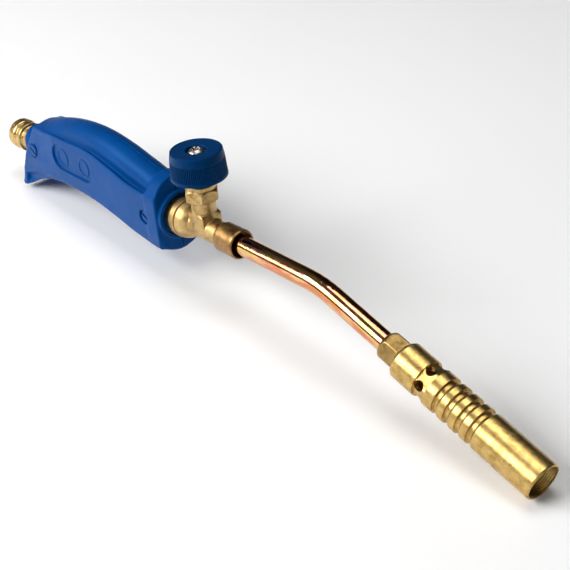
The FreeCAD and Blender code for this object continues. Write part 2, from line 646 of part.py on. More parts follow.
def grip_halves():
    """Split the grip on the middle plane and take the tunnels, cores and screw holes out."""
    blank = grip_blank()
    tools = fused("grip_tools", *grip_tools())
    length, height = "size.valve_x", "2 * size.reach"
    near_space = box("near_space", length, "size.reach", height, y="-size.reach", z="-size.reach")
    far_space = box("far_space", length, "size.reach", height, z="-size.reach")
    near = common("near_blank", blank, near_space)
    far = common("far_blank", blank, far_space)
    right = cut("right_piece", near, tools, label_recess())
    left = cut("left_piece", far, tools)
    right.Label = "handle_right"
    left.Label = "handle_left"
    return [right, left]


def grip_screw(place, side):
    """One short slotted screw; side is -1 on the right of the grip and 1 on the left."""
    at = screw_place(place)
    label = f"{place}_screw_{'right' if side < 0 else 'left'}"
    shank_length = "(size.head_seat - size.fastener_end)"
    shank_foot = f"-{shank_length}" if side > 0 else "0"
    head_foot = "0" if side > 0 else "-size.head_depth"
    slot_foot = "size.head_depth - 0.6" if side > 0 else "-size.head_depth - 0.4"
    seat = f"{side} * size.head_seat"
    shank = cylinder(label + "_shank", "size.fastener_radius", shank_length, "Y",
                     y=f"{seat} + {shank_foot}", **at)
    head = cylinder(label + "_head", "size.head_radius", "size.head_depth", "Y",
                    y=f"{seat} + {head_foot}", **at)
    slot = box(label + "_slot", "2 * size.head_radius + 1", "1", "1",
               x=f"{at['x']} - size.head_radius - 0.5", y=f"{seat} + {slot_foot}",
               z=f"{at['z']} - 0.5")
    return cut(label, fused(label + "_blank", shank, head), slot)


def grip_screws():
    """Four short screws, two from each side, into the brass at both ends of the gas pipe."""
    group = doc.addObject("Part::Compound", "handle_screws")
    group.Links = [grip_screw(place, side) for place in ("rear", "front") for side in (-1, 1)]
    return group


# ---------------------------------------------------------------- the whole torch

def build():
    """Make every piece and return them in order from the hose to the flame."""
    fill_sheet()
    tube_bore = "size.pipe_radius - size.pipe_wall"
    pieces = [
        hose_inlet(),
        ring_along_x("inlet_seal", "size.inlet_depth", "size.inlet_depth + size.inlet_seal_thick",
                     "size.gas_bore + 0.7", "size.inlet_seal_radius"),
        ring_along_x("gas_pipe", "size.inlet_socket",
                     "size.valve_x - size.tail_length + size.tail_socket", tube_bore,
                     "size.pipe_radius"),
        valve_body(),
        *plug_and_seat(),
        spindle(),
        on_valve(ring_along_z("spindle_ring", "size.ring_foot", "size.ring_foot + size.ring_thick",
                              "size.stem_radius - 0.6", "size.ring_radius")),
        on_valve(ring_along_z("packing_washer", "size.chamber_top", "size.washer_top",
                              "size.stem_radius + size.gap", "size.gland_bore")),
        on_valve(ring_along_z("gland_packing", "size.washer_top", "size.packing_top",
                              "size.stem_radius + size.gap", "size.gland_bore")),
        gland_nut(),
        knob(),
        knob_insert(),
        on_valve(ring_along_z("knob_washer", "size.well_floor", "size.screw_washer_top",
                              "size.screw_radius + 0.1", "size.screw_washer_radius")),
        knob_screw(),
        tube_sleeve(),
        neck_tube(),
        nozzle_holder(),
        on_burner_line(ring_along_x("jet_seal", "size.holder_end", "size.holder_end + size.jet_washer",
                                    "size.jet_thread", "size.jet_head + 0.3")),
        jet(),
        burner_body(),
        flame_stabiliser(),
        *grip_halves(),
        grip_screws(),
    ]
    doc.recompute()
    return pieces


def check(pieces):
    """Stop if any object failed to build or any piece is empty or not valid."""
    for item in doc.Objects:
        if "Invalid" in item.State or "Error" in item.State:
            raise RuntimeError(f"{item.Label} did not build: {item.State}")
    for piece in pieces:
        shape = piece.Shape
        if shape.isNull() or not shape.isValid() or not shape.Solids:
            raise RuntimeError(f"{piece.Label} is not a valid solid")


def export(pieces):
    for piece in pieces:
        piece.Shape.exportStep(f"parts/{piece.Label}.step")
        print(f"{piece.Label:18s} solids {len(piece.Shape.Solids)}  volume {piece.Shape.Volume:9.1f}")


pieces = build()
check(pieces)
export(pieces)
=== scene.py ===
import json
import math

import bmesh
import bpy
import numpy as np
from mathutils import Matrix, Vector


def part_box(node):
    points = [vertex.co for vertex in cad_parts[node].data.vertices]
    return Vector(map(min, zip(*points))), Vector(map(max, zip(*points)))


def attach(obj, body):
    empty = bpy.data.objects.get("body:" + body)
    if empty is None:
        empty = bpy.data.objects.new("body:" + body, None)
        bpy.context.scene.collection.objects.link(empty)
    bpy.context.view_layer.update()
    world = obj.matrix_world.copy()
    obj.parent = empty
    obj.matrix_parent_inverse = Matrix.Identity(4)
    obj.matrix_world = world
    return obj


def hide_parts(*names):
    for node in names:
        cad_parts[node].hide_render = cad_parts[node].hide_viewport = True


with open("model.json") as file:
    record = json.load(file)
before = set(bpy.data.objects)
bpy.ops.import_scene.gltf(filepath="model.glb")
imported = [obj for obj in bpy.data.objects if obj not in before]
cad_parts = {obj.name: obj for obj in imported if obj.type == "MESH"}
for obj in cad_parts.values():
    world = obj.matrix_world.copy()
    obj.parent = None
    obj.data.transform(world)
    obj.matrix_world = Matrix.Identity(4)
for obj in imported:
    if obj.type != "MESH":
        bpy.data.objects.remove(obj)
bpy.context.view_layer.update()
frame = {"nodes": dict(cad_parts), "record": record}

MM = 0.001
TURN = 2 * math.pi


# ---------------------------------------------------------------- places read from the frame

def span(node, axis):
    """Low and high side of a CAD node along one axis, in millimetres."""
    low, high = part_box(node)
    return low[axis] / MM, high[axis] / MM


def mount(name):
    return next(item for item in frame["record"]["mounts"] if item["name"] == name)


MOUTH = mount("burner_mouth")
VALVE_X = sum(span("knob", 0)) / 2
BURNER_AXIS = Vector(MOUTH["axis"])
TILT = math.atan2(-BURNER_AXIS.z, BURNER_AXIS.x)
MOUTH_POINT = Vector(MOUTH["pos_m"]) / MM
BURNER_FRONT = MOUTH_POINT.z / -math.sin(TILT)
BEND_X = MOUTH_POINT.x - BURNER_FRONT * math.cos(TILT)
BORE_RADIUS = MOUTH["dims"]["r_mm"]
INLET_BORE = mount("hose_inlet")["dims"]["r_mm"]
INLET_DEPTH = mount("hose_inlet")["dims"]["length_mm"]
TUBE_RADIUS = (span("gas_pipe", 1)[1] - span("gas_pipe", 1)[0]) / 2
WALL_FRONT_GAP = 24


# ---------------------------------------------------------------- smooth fields and their meshes

def blend_min(a, b, k):
    """Union of two distance fields with a fillet of about k."""
    share = np.clip(0.5 + 0.5 * (b - a) / k, 0, 1)
    return b * (1 - share) + a * share - k * share * (1 - share)


def blend_max(a, b, k):
    """Intersection of two distance fields with an edge rounded by about k."""
    return -blend_min(-a, -b, k)


def smooth_line(points):
    """A smooth curve through a few points, as a function of x."""
    xs, ys = np.array(points, float).T
    slopes = np.gradient(ys, xs)

    def at(x):
        i = np.clip(np.searchsorted(xs, x) - 1, 0, len(xs) - 2)
        step = xs[i + 1] - xs[i]
        t = np.clip((x - xs[i]) / step, 0, 1)
        rise = (3 - 2 * t) * t * t
        lead = t * (1 - t) * ((1 - t) * slopes[i] - t * slopes[i + 1]) * step
        return ys[i] + (ys[i + 1] - ys[i]) * rise + lead

    return at


def box_field(x, y, z, low, high, k):
    """A box with rounded edges."""
    sides = [np.maximum(low[i] - v, v - high[i]) for i, v in enumerate((x, y, z))]
    return blend_max(blend_max(sides[0], sides[1], k), sides[2], k)


def hexagon_field(y, z, flats, angle, k):
    """A hexagonal prism's section; angle turns its first corner from the y axis."""
    faces = [angle + math.radians(30 + 60 * i) for i in range(6)]
    pair = [y * math.cos(a) + z * math.sin(a) - flats / 2 for a in faces]
    field = pair[0]
    for side in pair[1:]:
        field = blend_max(field, side, k)
    return field


def surface_net(field, low, high, step):
    """Mesh a field's zero surface: a vertex in each crossed cell, pulled onto the surface."""
    axes = [np.arange(a - 2 * step, b + 3 * step, step) for a, b in zip(low, high)]
    grid = [axes[i].reshape([-1 if i == j else 1 for j in range(3)]) for i in range(3)]
    values = np.broadcast_to(field(*grid), [len(a) for a in axes]).astype(np.float32)
    inside = values < 0
    cells = [n - 1 for n in values.shape]
    total = np.zeros(cells + [3], np.float32)
    count = np.zeros(cells, np.float32)
    for axis in range(3):
        others = [i for i in range(3) if i != axis]
        for corner in range(4):
            offset = [0, 0, 0]
            offset[others[0]] = corner % 2
            offset[others[1]] = corner // 2
            start = tuple(slice(o, o + n) for o, n in zip(offset, cells))
            offset[axis] = 1
            end = tuple(slice(o, o + n) for o, n in zip(offset, cells))
            offset[axis] = 0
            crossed = inside[start] != inside[end]
            gap = np.where(crossed, values[start] - values[end], 1)
            share = np.where(crossed, values[start] / gap, 0)
            for i in range(3):
                total[..., i] += np.where(crossed, share if i == axis else offset[i], 0)
            count += crossed
    used = count > 0
    number = np.cumsum(used.ravel()).reshape(cells) - 1
    index = np.argwhere(used)
    origin = np.array([a[0] for a in axes])
    verts = origin + step * (index + total[used] / count[used][:, None])
    faces = []
    for axis in range(3):
        b, c = (axis + 1) % 3, (axis + 2) % 3
        cut = [slice(1, -1)] * 3
        cut[axis] = slice(0, -1)
        first = inside[tuple(cut)]
        cut[axis] = slice(1, None)
        second = inside[tuple(cut)]
        where = np.argwhere(first != second)
        where[:, b] += 1
        where[:, c] += 1
        quad = []
        for db, dc in ((-1, -1), (0, -1), (0, 0), (-1, 0)):
            cell = where.copy()
            cell[:, b] += db
            cell[:, c] += dc
            quad.append(number[tuple(cell.T)])
        quad = np.stack(quad, 1)
        flip = ~first[first != second]
        quad[flip] = quad[flip][:, ::-1]
        faces.append(quad)
    pull_to_surface(field, verts, step)
    return verts, np.concatenate(faces)


def pull_to_surface(field, verts, step):
    """Move vertices along the field's slope until they lie on its zero surface."""
    nudge = step * 0.05
    for _ in range(4):
        here = field(*verts.T)
        slope = np.stack([
            field(*(verts + nudge * np.eye(3)[i]).T) - field(*(verts - nudge * np.eye(3)[i]).T)
            for i in range(3)], 1) / (2 * nudge)
        size = np.maximum((slope ** 2).sum(1), 0.2)
        move = np.clip(here / size, -step / 2, step / 2)
        verts -= slope * move[:, None]


# ---------------------------------------------------------------- turned pieces

def rounded(corners, parts=5):
    """Replace each (along, radius, fillet) corner of a closed outline by an arc of points."""
    points = []
    count = len(corners)
    for i, (along, radius, fillet) in enumerate(corners):
        here = Vector((along, radius))
        if fillet <= 0:
            points.append(here)
            continue
        back = Vector(corners[i - 1][:2]) - here
        ahead = Vector(corners[(i + 1) % count][:2]) - here
        reach = min(fillet, back.length * 0.45, ahead.length * 0.45)
        start = here + back.normalized() * reach
        end = here + ahead.normalized() * reach
        for n in range(parts + 1):
            t = n / parts
            points.append(start * (1 - t) ** 2 + here * 2 * t * (1 - t) + end * t * t)
    return points


def divided(points, longest):
    """Add points so that no run of a closed outline is longer than the given length."""
    result = []
    for i, start in enumerate(points):
        end = points[(i + 1) % len(points)]
        count = max(1, math.ceil((end - start).length / longest))
        result += [start.lerp(end, n / count) for n in range(count)]
    return result


def turned_mesh(corners, segments, reshape=None, longest=None):
    """Turn a closed outline about x; reshape(along, radius, angle) can change the radius."""
    points = rounded(corners)
    if longest:
        points = divided(points, longest)
    rows = len(points)
    along = np.array([p.x for p in points])[:, None]
    radius = np.array([p.y for p in points])[:, None]
    angle = np.arange(segments)[None, :] * TURN / segments
    full = radius + 0 * angle
    if reshape:
        full = reshape(along + 0 * angle, full, angle + 0 * radius)
    verts = np.stack([along + 0 * full, full * np.cos(angle), full * np.sin(angle)], -1)
    row = np.arange(rows)[:, None]
    col = np.arange(segments)[None, :]
    after, beside = (row + 1) % rows, (col + 1) % segments
    corner = (row * segments + col, after * segments + col,
              after * segments + beside, row * segments + beside)
    faces = np.stack([c + 0 * (row + col) for c in corner], -1).reshape(-1, 4)
    return verts.reshape(-1, 3), faces


# ---------------------------------------------------------------- objects

def mesh_object(name, verts, faces, place=Matrix.Identity(4), sharp=40):
    """A mesh object in the frame from millimetres and a placing matrix, shaded smooth."""
    placed = np.asarray(verts) @ np.array(place.to_3x3()).T + np.array(place.translation)
    data = bpy.data.meshes.new(name)
    data.from_pydata((placed * MM).tolist(), [], np.asarray(faces).tolist())
    data.validate()
    data.shade_smooth()
    data.set_sharp_from_angle(angle=math.radians(sharp))
    item = bpy.data.objects.new(name, data)
    bpy.context.scene.collection.objects.link(item)
    return item


def outward(item):
    """Turn a closed mesh's faces outward if they point inward."""
    work = bmesh.new()
    work.from_mesh(item.data)
    bmesh.ops.remove_doubles(work, verts=work.verts, dist=0.002 * MM)
    bmesh.ops.recalc_face_normals(work, faces=work.faces)
    work.to_mesh(item.data)
    work.free()
    item.data.shade_smooth()
    item.data.set_sharp_from_angle(angle=math.radians(40))
    return item


def finished(item, body, material, slot, *nodes):
    """Give a piece its material and body, and hide the CAD nodes it stands for; slot is not used.
    """
    item.data.materials.clear()
    item.data.materials.append(material)
    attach(item, body)
    if nodes:
        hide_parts(*nodes)
    return item


ON_BURNER = Matrix.Translation((BEND_X, 0, 0)) @ Matrix.Rotation(TILT, 4, "Y")
ON_SPINDLE = Matrix.Translation((VALVE_X, 0, 0)) @ Matrix.Rotation(-math.pi / 2, 4, "Y")
AT_VALVE = Matrix.Translation((VALVE_X, 0, 0))


# ---------------------------------------------------------------- materials

def add(tree, kind, **values):
    """Add a node; names that are inputs set the input, other names set the node's property."""
    item = tree.nodes.new("ShaderNode" + kind)
    for name, value in values.items():
        label = name.replace("_", " ")
        if label in item.inputs:
            item.inputs[label].default_value = value
        else:
            setattr(item, name, value)
    return item


def link(tree, start, end):
    tree.links.new(start, end)


def noise(tree, scale, detail=4.0, stretch=(1, 1, 1), turn=0.0):
    """Object-space noise with a feature size of 1/scale metres, stretched along an axis."""
    place = add(tree, "TexCoord")
    mapping = add(tree, "Mapping")
    mapping.inputs["Scale"].default_value = stretch
    mapping.inputs["Rotation"].default_value = (0, turn, 0)
    texture = add(tree, "TexNoise", Scale=scale, Detail=detail, Roughness=0.6)
    link(tree, place.outputs["Object"], mapping.inputs["Vector"])
    link(tree, mapping.outputs["Vector"], texture.inputs["Vector"])
    return texture.outputs["Fac"]


def ramp(tree, source, stops, interpolation="LINEAR"):
    """Map a number to colours or grey levels through (position, colour or level) stops."""
    item = add(tree, "ValToRGB")
    item.color_ramp.interpolation = interpolation
    elements = item.color_ramp.elements
    while len(elements) < len(stops):
        elements.new(0.5)
    for element, (position, colour) in zip(elements, stops):
        element.position = position
        grey = isinstance(colour, (int, float))
        element.color = (colour, colour, colour, 1) if grey else (*colour, 1)
    link(tree, source, item.inputs["Fac"])
    return item.outputs["Color"]


def mixed(tree, share, first, second, mode="MIX"):
    """Mix two colours, each a plain colour or an output, by an output or a number."""
    item = tree.nodes.new("ShaderNodeMix")
    item.data_type = "RGBA"
    item.blend_type = mode
    sockets = (item.inputs[0], item.inputs[6], item.inputs[7])
    for socket, value in zip(sockets, (share, first, second)):
        if isinstance(value, (int, float)):
            socket.default_value = value
        elif isinstance(value, tuple):
            socket.default_value = (*value, 1)
        else:
            link(tree, value, socket)
    return item.outputs[2]


def bumps(tree, shader, layers):
    """Chain bump nodes from (height output, strength, depth in millimetres) layers."""
    normal = None
    for height, strength, depth in layers:
        item = add(tree, "Bump", Strength=strength, Distance=depth * MM)
        link(tree, height, item.inputs["Height"])
        if normal:
            link(tree, normal, item.inputs["Normal"])
        normal = item.outputs["Normal"]
    link(tree, normal, shader.inputs["Normal"])


def new_material(name, **values):
    """A material with a Principled shader; values are its plain socket values."""
    item = bpy.data.materials.new(name)
    item.use_nodes = True
    shader = item.node_tree.nodes["Principled BSDF"]
    for label, value in values.items():
        shader.inputs[label.replace("_", " ")].default_value = value
    return item, item.node_tree, shader


def moulded_plastic(name, light, dark, rough=(0.36, 0.5), grain=0.5):
    """Moulded plastic: soft shade drift, fine grain and slightly uneven gloss."""
    item, tree, shader = new_material(name, IOR=1.45, Specular_IOR_Level=0.3,
                                      Specular_Tint=(0.04, 0.42, 1, 1))
    drift = ramp(tree, noise(tree, 28, 3), [(0.3, dark), (0.7, light)])
    link(tree, drift, shader.inputs["Base Color"])
    gloss = ramp(tree, noise(tree, 160, 5), [(0.3, rough[0]), (0.75, rough[1])])
    link(tree, gloss, shader.inputs["Roughness"])
    fine = noise(tree, 1900, 2)
    wide = noise(tree, 120, 2)
    bumps(tree, shader, [(fine, 0.25 * grain, 0.06), (wide, 0.2 * grain, 0.35)])
    return item


def forged_brass(name, light, mid, dark, rough=(0.34, 0.5), grain=1.0):
    """Blasted forging: mottled colour, fine pits and soft dents."""
    item, tree, shader = new_material(name, Metallic=1.0)
    patches = ramp(tree, noise(tree, 170, 6), [(0.33, dark), (0.47, mid), (0.66, light)])
    specks = ramp(tree, noise(tree, 1500, 3), [(0.34, (0.62, 0.58, 0.5)), (0.46, (1, 1, 1))])
    link(tree, mixed(tree, 0.4, patches, specks, "MULTIPLY"), shader.inputs["Base Color"])
    gloss = ramp(tree, noise(tree, 420, 4), [(0.3, rough[0]), (0.7, rough[1])])
    link(tree, gloss, shader.inputs["Roughness"])
    fine = noise(tree, 2300, 3)
    dents = noise(tree, 330, 3)
    bumps(tree, shader, [(fine, 0.28 * grain, 0.07), (dents, 0.2 * grain, 0.28)])
    return item


def turned_brass(name, light, mid, dark, rough=(0.14, 0.3), tilt=0.0, grain=1.0, upright=False):
    """Turned brass: tool marks round the axis, tarnish mottling and small pits."""
    item, tree, shader = new_material(name, Metallic=1.0, Anisotropic=0.3)
    stretch = (1, 1, 14) if upright else (14, 1, 1)
    patches = ramp(tree, noise(tree, 260, 6), [(0.26, dark), (0.46, mid), (0.68, light)])
    specks = ramp(tree, noise(tree, 1300, 4), [(0.33, (0.42, 0.3, 0.16)), (0.45, (1, 1, 1))])
    link(tree, mixed(tree, 0.45, patches, specks, "MULTIPLY"), shader.inputs["Base Color"])
    gloss = ramp(tree, noise(tree, 500, 4), [(0.3, rough[0]), (0.7, rough[1])])
    link(tree, gloss, shader.inputs["Roughness"])
    marks = noise(tree, 160, 2, stretch, tilt)
    pits = noise(tree, 900, 3)
    waves = noise(tree, 170, 2)
    layers = [(marks, 0.1 * grain, 0.05), (pits, 0.12 * grain, 0.08), (waves, 0.08 * grain, 0.3)]
    bumps(tree, shader, layers)
    return item


def plain_metal(name, colour, rough, grain=0.4):
    """Drawn or plated metal with faint streaks."""
    item, tree, shader = new_material(name, Metallic=1.0)
    dull = tuple(c * 0.78 for c in colour)
    streaks = ramp(tree, noise(tree, 300, 4, (1, 4, 4)), [(0.35, dull), (0.65, colour)])
    link(tree, streaks, shader.inputs["Base Color"])
    gloss = ramp(tree, noise(tree, 600, 3), [(0.3, rough * 0.8), (0.7, rough * 1.3)])
    link(tree, gloss, shader.inputs["Roughness"])
    bumps(tree, shader, [(noise(tree, 1400, 3), 0.25 * grain, 0.05)])
    return item


def chromated_steel():
    """Polished tube with a yellow chromate film: streaks of gold, pink and olive along it."""
    item, tree, shader = new_material("chromated_steel", Metallic=1.0)
    place = add(tree, "Attribute", attribute_name="along_tube")
    mapping = add(tree, "Mapping")
    mapping.inputs["Scale"].default_value = (0.035, 1.1, 1.1)
    link(tree, place.outputs["Vector"], mapping.inputs["Vector"])
    film = add(tree, "TexNoise", Scale=1.6, Detail=5.0, Roughness=0.55)
    link(tree, mapping.outputs["Vector"], film.inputs["Vector"])
    colours = ramp(tree, film.outputs["Fac"], [
        (0.26, (0.24, 0.25, 0.06)), (0.37, (0.62, 0.4, 0.1)), (0.46, (0.78, 0.5, 0.22)),
        (0.53, (0.72, 0.24, 0.17)), (0.61, (0.6, 0.27, 0.07)), (0.74, (0.3, 0.27, 0.07))])
    link(tree, colours, shader.inputs["Base Color"])
    gloss = ramp(tree, noise(tree, 250, 4), [(0.35, 0.07), (0.75, 0.2)])
    link(tree, gloss, shader.inputs["Roughness"])
    streak = add(tree, "TexNoise", Scale=7.0, Detail=3.0)
    link(tree, mapping.outputs["Vector"], streak.inputs["Vector"])
    specks = noise(tree, 1500, 2)
    bumps(tree, shader, [(streak.outputs["Fac"], 0.1, 0.08), (specks, 0.08, 0.03)])
    return item


def soft_rubber(name, colour, rough=0.6):
    """Moulded sealing material."""
    item, tree, shader = new_material(name)
    lighter = tuple(min(1, c * 1.5 + 0.01) for c in colour)
    link(tree, ramp(tree, noise(tree, 300, 4), [(0.3, colour), (0.7, lighter)]),
         shader.inputs["Base Color"])
    link(tree, ramp(tree, noise(tree, 700, 3), [(0.3, rough * 0.85), (0.7, rough)]),
         shader.inputs["Roughness"])
    bumps(tree, shader, [(noise(tree, 1500, 2), 0.3, 0.05)])
    return item


def all_materials():
    """Every finish by the record's slot name."""
    return {
        "handle_plastic": moulded_plastic("handle_plastic", (0.0, 0.052, 0.225),
                                          (0.0, 0.04, 0.175)),
        "knob_plastic": moulded_plastic("knob_plastic", (0.0, 0.03, 0.115), (0.0, 0.023, 0.09)),
        "blue_screw": moulded_plastic("blue_screw", (0.0, 0.045, 0.2), (0.0, 0.034, 0.16),
                                      (0.28, 0.42), 0.8),
        "forged_brass": forged_brass("forged_brass", (0.66, 0.46, 0.2), (0.5, 0.34, 0.14),
                                     (0.22, 0.12, 0.04)),
        "turned_brass": turned_brass("turned_brass", (0.8, 0.58, 0.26), (0.66, 0.45, 0.17),
                                     (0.42, 0.26, 0.08), (0.22, 0.4)),
        "bright_brass": turned_brass("bright_brass", (0.7, 0.49, 0.18), (0.56, 0.37, 0.12),
                                     (0.32, 0.19, 0.05), (0.27, 0.42), -TILT),
        "holder_brass": forged_brass("holder_brass", (0.45, 0.31, 0.12), (0.33, 0.21, 0.07),
                                     (0.17, 0.09, 0.03), (0.28, 0.42), 0.7),
        "tinted_bronze": turned_brass("tinted_bronze", (0.46, 0.28, 0.12), (0.33, 0.19, 0.07),
                                      (0.16, 0.08, 0.025), (0.3, 0.45), 0.0, 0.7),
        "chromated_steel": chromated_steel(),
        "steel_pipe": plain_metal("steel_pipe", (0.55, 0.54, 0.52), 0.4),
        "nickel_steel": plain_metal("nickel_steel", (0.5, 0.46, 0.41), 0.32, 1.0),
        "copper": plain_metal("copper", (0.78, 0.38, 0.22), 0.3),
        "seal_rubber": soft_rubber("seal_rubber", (0.02, 0.02, 0.02)),
        "packing_white": soft_rubber("packing_white", (0.75, 0.75, 0.72), 0.5),
    }


# ---------------------------------------------------------------- grip

# The grip's side outline: distance from the inlet with the height of each line there
CREST = smooth_line([(20, 13.4), (33, 17.6), (44, 20.6), (55, 24), (74, 27.9), (96, 29.2),
                     (116, 27.2), (132, 24), (152, 19.6)])
RIDGE = smooth_line([(8, 13.5), (20, 15), (33, 16.7), (46, 18.6), (60, 20.3), (74, 21),
                     (96, 21.3), (116, 17.4), (132, 13.8), (152, 12.5)])
BELLY = smooth_line([(8, -26), (20, -23.4), (36, -15.8), (53, -10.4), (74, -8.4), (96, -9.1),
                     (116, -12), (132, -15), (152, -17.4)])
HALF = smooth_line([(8, 12.3), (36, 12.8), (74, 13.1), (120, 13.2), (152, 13.5)])
SPINE_RADIUS = 8.9
REAR_BOSS = {"radius": 10.5, "back": 24, "slant": 0.45, "front": 36}
INLET_TUNNEL = 7.15
REAR_LEAN = math.radians(27.3)
REAR_X = 26.4
# Height of the crease above the heel's hollow
CREASE = smooth_line([(18, -16), (26.5, -13.6), (40, -9.8), (53.5, -8.2), (62, -7.8)])
WALL_HALF, WALL_TOP, WALL_FOOT, WALL_THICK = 13.55, 21.9, -20.9, 9
SCREW_PLACES = ((36.5, 3.0), (146.5, -1.5))
HEAD_RADIUS = 3.6
LABEL = {"back": 59.6, "front": 99.2, "z": 8.4, "half": 7.4, "depth": 1.2}
SEAM = 0.07


def grip_field(x, y, z):
    """Signed field of the whole grip about the middle plane."""
    across = np.abs(y)
    half = HALF(x)
    heel = np.clip((-9 - z) / 14, 0, 1) * np.clip((42 - x) / 26, 0, 1)
    side = across - half - 1.6 * heel ** 2 + 0.0035 * (z - 4) ** 2 * np.clip((z - 4) / 10, 0, 1)
    side = side + 2.6 * np.clip((60 - x) / 26, 0, 1.1) * np.clip((z + 1) / 16, 0, 1.2)
    flute = np.exp(-((across - 9.9) / 1.7) ** 2) * np.clip((x - 36) / 34, 0, 1)
    top = (z - RIDGE(x) + 2.4 * flute) * 0.75
    bottom = (BELLY(x) - z) * 0.86
    block = blend_max(blend_max(side, top, 1.5), bottom, 2.6)
    spine_z = CREST(x) - SPINE_RADIUS
    spine = (np.sqrt(y * y + np.maximum(z - spine_z, -6) ** 2) - SPINE_RADIUS) * 0.93
    body = blend_min(block, blend_max(spine, -z, 1), 1.9)
    cove = np.sqrt((across - half - 0.9) ** 2 + ((z - CREASE(x) + 2.7) * 0.9) ** 2) - 2.7
    cove = blend_max(cove, np.maximum(23.5 - x, x - 52), 1.5)
    body = blend_max(body, -cove, 1.3)
    rear = (REAR_X + z * math.tan(REAR_LEAN) - x) * math.cos(REAR_LEAN)
    body = blend_max(body, rear, 1.6 + 4 * np.clip((-12 - z) / 8, 0, 1))
    front = VALVE_X - WALL_FRONT_GAP
    body = blend_max(body, x - front + 1, 0.8)
    centre = np.clip(z, WALL_FOOT + WALL_HALF, WALL_TOP - WALL_HALF)
    plate = np.sqrt(y * y + (z - centre) ** 2) - WALL_HALF
    wall = blend_max(plate, np.abs(x - front + WALL_THICK / 2) - WALL_THICK / 2, 1.1)
    body = blend_min(body, wall, 2.6)
    line = np.sqrt(y * y + z * z)
    ring = blend_max(line - 13.25, np.abs(x - front + 1) - 3.6, 0.7)
    body = blend_min(body, ring, 0.6)
    body = blend_max(body, -blend_max(line - 11.2, front + 0.6 - x, 0.3), 0.5)
    boss_back = REAR_BOSS["back"] - REAR_BOSS["slant"] * z - x
    boss_length = np.maximum(boss_back, x - REAR_BOSS["front"]) * 0.91
    boss = blend_max(line - REAR_BOSS["radius"], boss_length, 1.4)
    body = blend_min(body, boss, 1.6)
    return blend_max(body, -np.maximum(line - INLET_TUNNEL, x - 30), 0.4)


def label_field(x, z):
    """Section of the sunk panel: a stadium along the grip."""
    centre = np.clip(x, LABEL["back"] + LABEL["half"], LABEL["front"] - LABEL["half"])
    return np.sqrt((x - centre) ** 2 + (z - LABEL["z"]) ** 2) - LABEL["half"]


def with_screw_wells(body, x, y, z):
    """Take the counterbores of the two screws out of a half."""
    for place_x, place_z in SCREW_PLACES:
        round_hole = np.sqrt((x - place_x) ** 2 + (z - place_z) ** 2) - HEAD_RADIUS - 0.35
        well = np.maximum(round_hole, 11.3 - np.abs(y))
        body = blend_max(body, -well, 0.35)
    return body


def right_half_field(x, y, z):
    """Right half: sunk panel with two plain raised rings, and two screw wells."""
    body = grip_field(x, y, z)
    floor_y = HALF(x) - LABEL["depth"]
    recess = blend_max(label_field(x, z), y + floor_y, 0.3)
    body = blend_max(body, -recess, 0.3)
    for centre_x in (LABEL["back"] + 9.2, LABEL["front"] - 9.2):
        away = np.sqrt((x - centre_x) ** 2 + (z - LABEL["z"]) ** 2)
        ring = blend_max(np.abs(away - 4.6) - 0.55, np.abs(y + floor_y) - 0.45, 0.35)
        body = blend_min(body, ring, 0.3)
    body = with_screw_wells(body, x, y, z)
    return blend_max(body, y + SEAM, 0.3)


def left_half_field(x, y, z):
    """Left half: plain panel and two screw wells."""
    body = with_screw_wells(grip_field(x, y, z), x, y, z)
    return blend_max(body, SEAM - y, 0.3)


def make_grip(finishes):
    """Both halves of the grip."""
    low_x, high_x = 8, VALVE_X - 21
    for name, field, low_y, high_y in (
            ("grip_right", right_half_field, -15, 0), ("grip_left", left_half_field, 0, 15)):
        verts, faces = surface_net(field, (low_x, low_y, -27), (high_x, high_y, 31), 0.5)
        item = mesh_object(name, verts, faces, sharp=60)
        node = "handle_right" if low_y < 0 else "handle_left"
        finished(item, "root", finishes["handle_plastic"], "handle_plastic", node)


def make_grip_screws(finishes):
    """Slotted screw heads in their wells, two on each side, as one piece."""
    seat, top, slot_angle = 10.2, 12.75, math.radians(62)

    def head(x, y, z):
        disc = blend_max(np.sqrt(x * x + z * z) - HEAD_RADIUS, np.maximum(seat - y, y - top), 0.7)
        across = x * math.cos(slot_angle) + z * math.sin(slot_angle)
        slot = np.maximum(np.abs(across) - 0.6, top - 1.0 - y)
        shank = np.maximum(np.sqrt(x * x + z * z) - 1.5, np.maximum(3.8 - y, y - seat - 0.3))
        return blend_min(blend_max(disc, -slot, 0.25), shank, 0.2)

    verts, faces = surface_net(head, (-4, 3.5, -4), (4, 13, 4), 0.2)
    all_verts, all_faces = [], []
    for place_x, place_z in SCREW_PLACES:
        for side in (-1, 1):
            start = sum(len(v) for v in all_verts)
            moved = verts * (1, side, 1) + (place_x, 0, place_z)
            all_verts.append(moved)
            all_faces.append((faces if side > 0 else faces[:, ::-1]) + start)
    item = mesh_object("grip_screws", np.concatenate(all_verts), np.concatenate(all_faces))
    finished(item, "root", finishes["blue_screw"], "blue_screw", "handle_screws")


# ---------------------------------------------------------------- hose inlet, valve and gland nut

